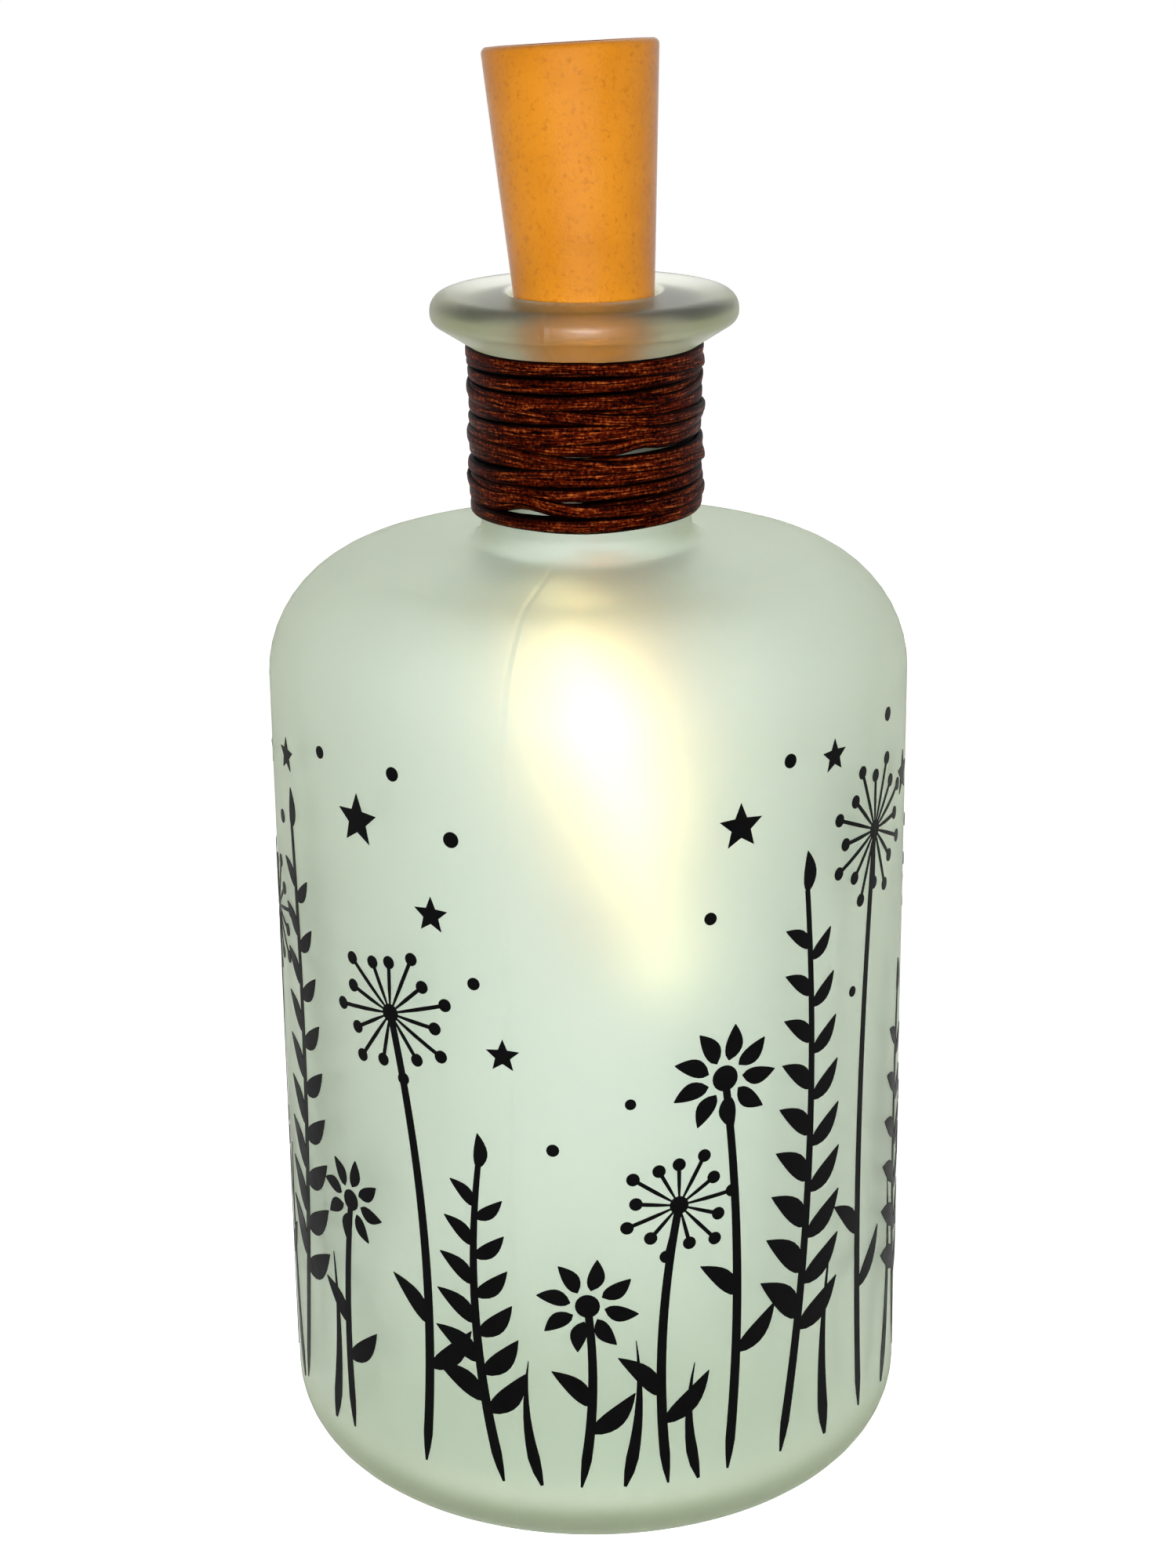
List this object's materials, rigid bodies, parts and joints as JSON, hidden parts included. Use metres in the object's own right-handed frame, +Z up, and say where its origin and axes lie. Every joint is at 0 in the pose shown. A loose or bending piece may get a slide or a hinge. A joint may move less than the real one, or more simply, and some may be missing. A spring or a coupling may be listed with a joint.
{
  "type": "cork bottle light",
  "caption": "Frosted glass bottle lit from inside by a light string that hangs from a battery stopper shaped like a cork, with twine wound round its neck.",
  "frame": {"origin": "middle of the bottle's base, on the surface that it stands on", "axes": "+Z up the bottle's axis, +X to the right and +Y away from the viewer in front"},
  "size_m": [0.082, 0.082, 0.1867],
  "materials": {
    "frosted_glass": "acid-frosted pale green-grey glass",
    "waxed_twine": "waxed twisted paper twine, dark red-brown",
    "cork_plastic": "tan moulded plastic with a fine sparkle",
    "button_plastic": "tan moulded plastic, smooth",
    "soft_bush": "soft black bush",
    "board": "green-coated circuit board",
    "spring_steel": "plated spring wire",
    "copper_wire": "enamelled copper wire",
    "clear_resin": "clear resin drop, lit warm white",
    "light_chip": "light chip under yellow phosphor",
    "tray_plastic": "black moulded plastic",
    "cell_steel": "plated steel can",
    "plated_contact": "nickel-plated strip",
    "resistor_body": "black chip resistor",
    "switch_plastic": "black moulded switch body",
    "switch_stem": "white moulded stem"
  },
  "bodies": {
    "bottle": {"bottle": "frosted_glass", "neck_twine": "waxed_twine"},
    "cork": {"cork_shell": "cork_plastic", "wire_grommet": "soft_bush", "terminal_board": "board", "contact_spring": "spring_steel", "string_lead": "copper_wire", "string_coil": "copper_wire", "led_beads": "clear_resin", "led_chips": "light_chip"},
    "battery_core": {"top_cap": "cork_plastic", "battery_tray": "tray_plastic", "button_cell_1": "cell_steel", "button_cell_2": "cell_steel", "button_cell_3": "cell_steel", "positive_contact": "plated_contact", "return_strip": "plated_contact", "switch_board": "board", "series_resistor": "resistor_body", "switch_body": "switch_plastic"},
    "button": {"push_button": "button_plastic", "switch_plunger": "switch_stem"}
  },
  "joints": [
    {"name": "cork_lift", "type": "slide", "parent": "bottle", "child": "cork", "axis": [-0.047, 0.0697, 0.9965], "range_m": [0, 0.1]},
    {"name": "core_pull", "type": "slide", "parent": "cork", "child": "battery_core", "axis": [-0.047, 0.0697, 0.9965], "range_m": [0, 0.042]},
    {"name": "button_press", "type": "slide", "parent": "battery_core", "child": "button", "axis": [0.047, -0.0697, -0.9965], "range_m": [-0.0008, 0.0005], "stiffness_N_per_m": 800}
  ]
}
